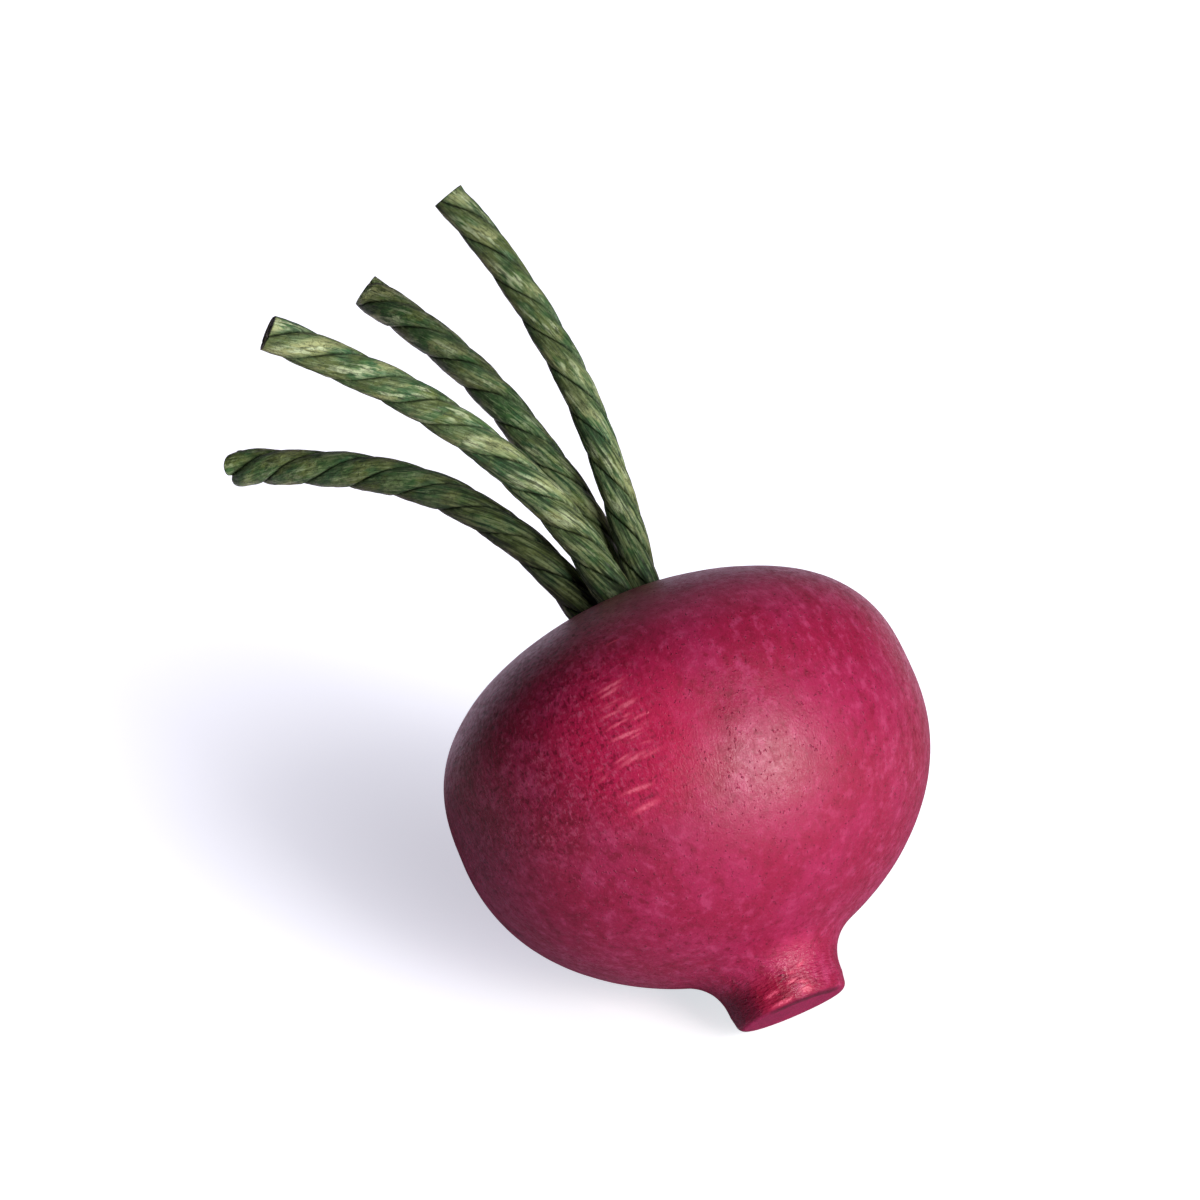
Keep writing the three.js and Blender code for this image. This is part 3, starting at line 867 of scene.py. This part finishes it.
def wood_material():
    """Crimson stain over turned wood: soft blotches, and bolder flecks where the grain is cut across."""
    n = Nodes(bpy.data.materials.new("stained_wood"), palette=WOOD, first="stain")
    skin = n.attribute("skin")
    turned = n.attribute("turned")
    around = n.split(skin)
    height = n.split(turned)[2]

    # Two opposite sides of the bulb show the figure of the wood
    across_rings = n.vector("DOT_PRODUCT", skin, FIGURE_SIDE)
    facing = n.math("ABSOLUTE", across_rings)
    figure = n.times(n.ramp(facing, 0.70, 0.93), n.ramp(height, -11.0, -3.0))
    calm = n.spot(turned, *CALM_SPOT)
    shade = n.spot(turned, *SHADE_SPOT)
    cloud = paint_stain(n, turned, height, calm)
    speck, crossed = paint_flecks(n, turned, skin, figure, calm)
    ring = paint_rings(n, turned, height, across_rings, shade)

    # Open pores on the calmer wood
    pore = n.pattern(turned, (2.9, 2.9, 2.1), (11.0, 5.0, 2.0), detail=1.0)
    pit = n.times(n.ramp(pore, 0.33, 0.25), n.times_plus(figure, -0.8, 1.0))
    n.paint("pore", pit, 0.55)

    # Tool marks, a little ragged, with the stain rubbed thin on them or caught beside them; on the root the
    # pale ones are partly painted highlight
    ragged = n.pattern(turned, (2.4, 2.4, 2.4), (6.0, 1.0, 8.0), rough=0.6)
    angle = n.math("ARCTAN2", around[1], around[0])
    radius = n.ramp(height, NECK_TOP - 1, NECK_TOP + 1, NECK_RADIUS, BELLY_RADIUS)
    length_round = n.times(angle, radius)
    length_along = n.times_plus(n.math("SUBTRACT", ragged, 0.5), 0.35, height)
    place = n.add("CombineXYZ", {"X": length_round, "Y": length_along, "Z": 1.0}).outputs["Vector"]
    # Painted highlight on the top of the root
    painted_root_highlight = n.spot(turned, *ROOT_HIGHLIGHT_SPOT)
    n.paint("painted_root_highlight", painted_root_highlight, 0.35)
    pale_mark_and_highlight = nearest_mark(n, place, PALE_MARKS_AND_HIGHLIGHT, PALE_SEED)
    halo_and_highlight = n.ramp(pale_mark_and_highlight, 0.5, 1.35, 1.0, 0.0)
    streak_and_highlight = n.times(n.ramp(pale_mark_and_highlight, 0.3, 0.95, 1.0, 0.0), n.ramp(ragged, 0.35, 0.55, 0.5, 1.0))
    groove = n.ramp(nearest_mark(n, place, DARK_PATCHES, DARK_SEED), 0.3, 1.15, 1.0, 0.0)

    # Painted shade on the foot of the root: a deeper red to one side, and nearly black farther round, on the
    # side turned from the light
    neck = n.ramp(height, -21.5, -25.5)
    root_foot = n.ramp(height, -24.2, -27.2)
    painted_shade_red = n.times(root_foot, n.ramp(length_round, -2.0, -4.5))
    painted_shade_dark = n.times(root_foot, n.ramp(length_round, -6.4, -7.9))
    n.paint("red root shade", painted_shade_red, 0.75)
    n.paint("dark root shade", painted_shade_dark, 0.70)

    # The sawn end of the root, and painted shade in a dark line along the upper half of its edge
    distance_out = n.vector("LENGTH", n.scaled(turned, (1.0, 1.0, 0.0)))
    sawn = n.ramp(height, -29.25, -29.55)
    n.paint("sawn end", sawn, 0.8)
    upper_edge = n.times(n.ramp(length_round, -7.5, -5.5), n.ramp(length_round, 5.5, 3.5))
    painted_rim_shade = n.times(n.ramp(distance_out, 4.3, 5.0), n.times(sawn, upper_edge))
    n.paint("rim shade", painted_rim_shade, 0.8)
    n.paint("groove", groove, 0.8)
    n.paint("halo_and_highlight", halo_and_highlight, 0.75)
    n.paint("streak_and_highlight", streak_and_highlight)

    # Gloss and fine relief. The tool marks stay out of the relief
    rough = n.math("ADD", n.ramp(cloud, 0.35, 0.65, 0.44, 0.37), n.ramp(speck, 0.33, 0.67, 0.08, -0.08))
    rough = n.times_plus(pit, 0.15, rough)
    rough = n.times_plus(sawn, 0.45, rough)
    fine = n.pattern(turned, (6.0, 6.0, 1.6), rough=0.6)
    grain = n.pattern(turned, (4.2, 4.2, 3.4), (2.0, 2.0, 5.0), detail=3.0, rough=0.7)
    ridge = n.pattern(turned, (1.1, 1.1, 3.4), (9.0, 4.0, 3.0), rough=0.6)
    relief = n.math("ADD", n.times(fine, 0.25), n.times(grain, 0.5))
    relief = n.math("SUBTRACT", relief, n.times(pit, 0.8))
    relief = n.math("SUBTRACT", relief, n.times(crossed, figure))
    relief = n.math("ADD", relief, n.times(n.times(ring, shade), 1.8))
    relief = n.math("ADD", relief, n.times(n.times(ridge, neck), 3.0))
    return n.surface(rough, n.bump(relief, distance=0.00011, strength=0.8), WOOD_IOR)


# ---- dyed paper and glue
DYE = {
    "green": (0.072, 0.175, 0.056),
    "olive": (0.160, 0.212, 0.062),
    "teal": (0.045, 0.180, 0.078),
    "straw": (0.52, 0.55, 0.25),
    "mint": (0.66, 0.76, 0.46),
    "dark mottle": (0.040, 0.085, 0.038),
    "pale mottle": (0.37, 0.46, 0.24),
    # Painted shade: on each ply's side turned from the light, and under the edge of the next ply
    "ply shade": (0.035, 0.070, 0.032),
    "ply edge shade": (0.040, 0.070, 0.032),
    "crease": (0.030, 0.048, 0.020),
    "pale fibre": (0.43, 0.54, 0.29),
    "dark fibre": (0.028, 0.046, 0.020),
    "pale strand": (0.44, 0.52, 0.25),
    "dark strand": (0.020, 0.034, 0.015),
    "crackle": (0.028, 0.044, 0.020),
    # Painted shade in the seams between the plies
    "seam": (0.012, 0.020, 0.006),
}
PAPER_IOR = 1.42
FADE = (25.0, 65.0)  # the lengths along a cord between which its look changes from the foot's to the tip's

# Painted light and shade: how much lighter or darker each stem's dye is at the foot and at the tip, as its
# light falls; and how much wear, with painted highlight, it has at the foot and at the tip
PAPER = {
    "stem_upright": (0.95, 0.88, 0.70, 0.80),
    "stem_back": (1.00, 1.35, 0.45, 0.75),
    "stem_low": (0.85, 2.05, 0.15, 0.40),
    "stem_front": (1.10, 1.15, 0.70, 1.00),
}
GLUE = {"dark": (0.016, 0.016, 0.008), "pale": (0.045, 0.040, 0.018)}
GLUE_IOR = 1.48


def paint_dye(n, cord, dye, ply, wear_and_sheen):
    """The dye as each ply took it; straw and mint as wear and painted highlight on the ply's lit side,
    painted shade on the other. Returns the mottle.
    """
    lit_side_of_ply = n.ramp(n.math("ABSOLUTE", n.math("ADD", ply, 0.25)), 0.75, 0.1)
    patch = n.pattern(cord, (0.58, 0.58, 0.30))
    patch = n.times_plus(dye[0], 0.30, patch)
    n.paint("olive", n.ramp(patch, 0.38, 0.62))
    teal = n.pattern(cord, (0.72, 0.72, 0.36), (3.0, 1.0, 9.0))
    teal = n.times_plus(dye[1], 0.22, teal)
    n.paint("teal", n.ramp(teal, 0.54, 0.66, 0.0, 0.55))
    wear_and_sheen = n.times(wear_and_sheen, n.times_plus(lit_side_of_ply, 0.85, 0.15))
    straw = n.pattern(cord, (0.80, 0.80, 0.30), (8.0, 2.0, 5.0), detail=3.0, rough=0.6)
    straw = n.times_plus(dye[2], 0.18, straw)
    # Straw and mint: wear, and painted highlight along the lit side of each ply
    n.paint("straw", n.ramp(straw, 0.46, 0.60), wear_and_sheen)
    mint = n.pattern(cord, (1.6, 1.6, 0.36), (1.0, 6.0, 2.0))
    n.paint("mint", n.ramp(mint, 0.53, 0.61), wear_and_sheen)
    mottle = n.pattern(cord, (2.0, 2.0, 1.1), (4.0, 4.0, 4.0), detail=3.0, rough=0.6)
    n.paint("dark mottle", n.ramp(mottle, 0.47, 0.34, 0.0, 0.4))
    n.paint("pale mottle", n.ramp(mottle, 0.54, 0.68, 0.0, 0.3))
    # Painted shade on the side of each ply turned from the light
    n.paint("ply shade", n.ramp(lit_side_of_ply, 0.45, 0.0, 0.0, 0.30))
    return mottle


def paint_folds(n, cord, along, seam, crease, ply):
    """Folds, fibres, strands and crackle, painted shade at the ply edges and in the seams, and darker along
    the creases. Returns the fibres and crackle.
    """
    # Painted shade on the edge of each ply that lies under the next
    n.paint("ply edge shade", n.ramp(ply, 0.75, 1.0, 0.0, 0.35))
    n.paint("crease", crease, 0.65)
    fibre = n.pattern(cord, (5.0, 5.0, 0.55), detail=3.0, rough=0.65)
    n.paint("pale fibre", n.ramp(fibre, 0.54, 0.66, 0.0, 0.45))
    n.paint("dark fibre", n.ramp(fibre, 0.47, 0.36, 0.0, 0.65))
    foot = n.ramp(along, 38.0, 23.0)
    strand = n.pattern(cord, (3.0, 3.0, 0.17), (7.0, 4.0, 1.0))
    dark_strand = n.times(n.ramp(strand, 0.47, 0.38), n.times_plus(foot, 0.6, 0.15))
    pale_strand = n.times(n.ramp(strand, 0.53, 0.62), n.times_plus(foot, 0.4, 0.10))
    n.paint("dark strand", dark_strand)
    n.paint("pale strand", pale_strand)
    crackle = n.pattern(cord, (1.7, 1.7, 1.0), (5.0, 9.0, 3.0), rough=0.6, distortion=0.4)
    crackle = n.ramp(n.math("ABSOLUTE", n.math("SUBTRACT", crackle, 0.5)), 0.022, 0.006)
    n.paint("crackle", crackle, 0.45)
    # Painted shade in the seams, deeper in places
    depth_of_seam = n.pattern(cord, (0.5, 0.5, 0.30), (2.0, 7.0, 6.0), detail=1.0)
    seam = n.times(seam, n.ramp(depth_of_seam, 0.36, 0.50, 0.35, 0.95))
    n.paint("seam", seam)
    return fibre, crackle


def paper_material(name, painted_light_at_foot, painted_light_at_tip, wear_and_sheen_at_foot, wear_and_sheen_at_tip):
    """Dyed paper in soft patches of green, teal and olive; straw and mint as wear and painted highlight on
    parts of the plies; painted shade; each stem painted lighter or darker as its light falls.
    """
    n = Nodes(bpy.data.materials.new(name), palette=DYE, first="green")
    cord = n.attribute("cord")
    along = n.split(cord)[2]
    relief = n.split(n.attribute("relief"))
    seam, crease, ply = relief[0], relief[1], relief[2]
    wear_and_sheen = n.ramp(along, *FADE, wear_and_sheen_at_foot, wear_and_sheen_at_tip, smooth=False)
    dye = n.split(n.attribute("dye"))
    mottle = paint_dye(n, cord, dye, ply, wear_and_sheen)
    fibre, crackle = paint_folds(n, cord, along, seam, crease, ply)
    # Painted light and shade: each stem's dye made lighter or darker along it, as its light falls
    light = n.ramp(along, *FADE, painted_light_at_foot, painted_light_at_tip, smooth=False)
    n.colour = n.mix(1.0, n.colour, light, "MULTIPLY")

    crumple = n.pattern(cord, (2.4, 2.4, 1.5), rough=0.55)
    height = n.math("ADD", n.times(fibre, 0.5), crumple)
    height = n.math("SUBTRACT", height, n.times(crackle, 0.35))
    normal = n.bump(height, distance=0.00016, strength=0.8)
    return n.surface(n.ramp(mottle, 0.3, 0.7, 0.62, 0.44), normal, PAPER_IOR)


def glue_material():
    """Set glue, clouded and a little shiny."""
    n = Nodes(bpy.data.materials.new("set_glue"), palette=GLUE, first="dark")
    cord = n.attribute("cord")
    cloud = n.noise(cord, scale=0.7, detail=3.0, rough=0.6)
    n.paint("pale", n.ramp(cloud, 0.35, 0.65))
    rough = n.ramp(cloud, 0.3, 0.7, 0.22, 0.4)
    normal = n.bump(n.noise(cord, scale=1.6), distance=0.0001, strength=0.5)
    return n.surface(rough, normal, GLUE_IOR)


bulb.data.materials.append(wood_material())
glue.data.materials.append(glue_material())
for stem_name, look in PAPER.items():
    stems[stem_name].data.materials.append(paper_material("paper_" + stem_name.split("_")[1], *look))


# ---- floor, light and surroundings
FLOOR_REACH = 4.0  # from its middle to each side, in metres
FLOOR_LEVEL = 1.176  # how bright the camera sees the floor: more than white
# The painted shadow on the floor that the camera sees: how deep, how sudden, where and how big
SHADOW_DEPTH = 0.567
SHADOW_POWER = 1.76  # how suddenly the shadow ends
SHADOW_AT = (-0.0244, -0.0061)  # in metres
SHADOW_SCALE = (14.2, 27.4, 0.0)  # one over its half length and half width in metres
SHADOW_TINT = rgb(0.893, 0.893, 1.0)  # of the floor that the camera sees beyond the object, and before it
FRONT_TINT = rgb(0.885, 0.93, 0.96)
SEEN_FLOOR = rgb(0.80, 0.80, 0.80)
NEAR_FLOOR = rgb(0.72, 0.50, 0.72)  # what the floor sends back to the object, beside it and farther out
FAR_FLOOR = rgb(0.80, 0.78, 0.78)
SURROUND_TINT = rgb(0.98, 0.76, 1.00)  # the faint violet cast of what lights the shaded side
# Painted light: the floor glows towards the object from this side, with this strength
SWEEP_AT = (-118.0, 0.0)  # azimuth and elevation, in degrees, as the camera's
SWEEP_GLOW = 0.78
WALL_AT = (-124.0, 20.0)
WALL_GLOW = 0.29
KEY_FROM = (95.0, 17.0)
KEY_AIM = Vector((0.0, 0.0, 0.03))  # in metres, and the lamp is 1 m from it
KEY_SIZE = (0.45, 0.75)
KEY_POWER = 12.5
KEY_COLOUR = (1.0, 0.985, 0.97)


def make_floor():
    """A plain pale floor, which the camera sees overexposed, with a painted soft shadow at the object's side;
    behind the object it glows and lights it.
    """
    n = Nodes(bpy.data.materials.new("pale_floor"))
    where = n.add("TexCoord").outputs["Object"]
    # Painted shadow: the floor that the camera sees dims near the object
    shift = (-SHADOW_AT[0] * SHADOW_SCALE[0], -SHADOW_AT[1] * SHADOW_SCALE[1], 0.0)
    away = n.vector("LENGTH", n.scaled(where, SHADOW_SCALE, shift))
    fall = n.math("EXPONENT", n.times(n.math("POWER", away, SHADOW_POWER), -1.0))
    overexposed = n.times_plus(fall, -SHADOW_DEPTH, FLOOR_LEVEL)
    distance = n.vector("LENGTH", where)
    heading = n.vector("NORMALIZE", where, output="Vector")
    facing = n.vector("DOT_PRODUCT", heading, tuple(direction(*SWEEP_AT)))
    # Painted light: the floor glows behind and beside the object, and lights it
    lit = n.times(n.ramp(facing, 0.55, 0.92, 0.0, SWEEP_GLOW), n.ramp(distance, 0.03, 0.09))
    seen = n.add("LightPath").outputs["Is Camera Ray"]
    glow = n.add("Mix", {0: seen, 2: lit, 3: overexposed}).outputs[0]
    front = n.ramp(n.split(where)[0], -0.015, 0.02)
    tint = n.mix(seen, SURROUND_TINT, n.mix(front, SHADOW_TINT, FRONT_TINT))
    emission = n.add("Emission", {"Color": tint, "Strength": glow})
    bounce = n.mix(n.ramp(distance, 0.03, 0.12), NEAR_FLOOR, FAR_FLOOR)
    diffuse = n.add("BsdfDiffuse", {"Color": n.mix(seen, bounce, SEEN_FLOOR)})
    both = n.add("AddShader", {0: emission.outputs[0], 1: diffuse.outputs[0]})
    material = n.finish(both.outputs[0])
    mesh = bpy.data.meshes.new("floor")
    corners = [(x * FLOOR_REACH, y * FLOOR_REACH, 0) for x, y in ((-1, -1), (1, -1), (1, 1), (-1, 1))]
    mesh.from_pydata(corners, [], [(0, 1, 2, 3)])
    floor = new_object("floor", mesh)
    mesh.materials.append(material)


def make_key():
    """A tall softbox to the right of the camera, low enough to light the bulb's side."""
    data = bpy.data.lights.new("softbox", "AREA")
    data.shape = "RECTANGLE"
    data.size, data.size_y = KEY_SIZE
    data.energy = KEY_POWER
    data.color = KEY_COLOUR
    lamp = new_object("softbox", data)
    towards = direction(*KEY_FROM)
    lamp.location = KEY_AIM + towards
    lamp.rotation_mode = "QUATERNION"
    lamp.rotation_quaternion = (-towards).to_track_quat("-Z", "Y")


def make_world():
    """Dark surroundings with a dim pale wall behind the object; the camera sees them as plain white."""
    world = bpy.data.worlds.new("studio")
    bpy.context.scene.world = world
    n = Nodes(world, "OutputWorld")
    where = n.add("TexCoord").outputs["Generated"]
    facing = n.vector("DOT_PRODUCT", where, tuple(direction(*WALL_AT)))
    wall = n.ramp(facing, 0.72, 0.95, 0.0, WALL_GLOW)
    seen = n.add("LightPath").outputs["Is Camera Ray"]
    dim = n.add("Background", {"Color": SURROUND_TINT, "Strength": wall})
    white = n.add("Background", {"Color": rgb(1.0, 1.0, 1.0), "Strength": 1.0})
    both = n.add("MixShader", {0: seen, 1: dim.outputs[0], 2: white.outputs[0]})
    n.finish(both.outputs[0])


make_floor()
make_key()
make_world()
bpy.context.scene.view_settings.view_transform = "Standard"
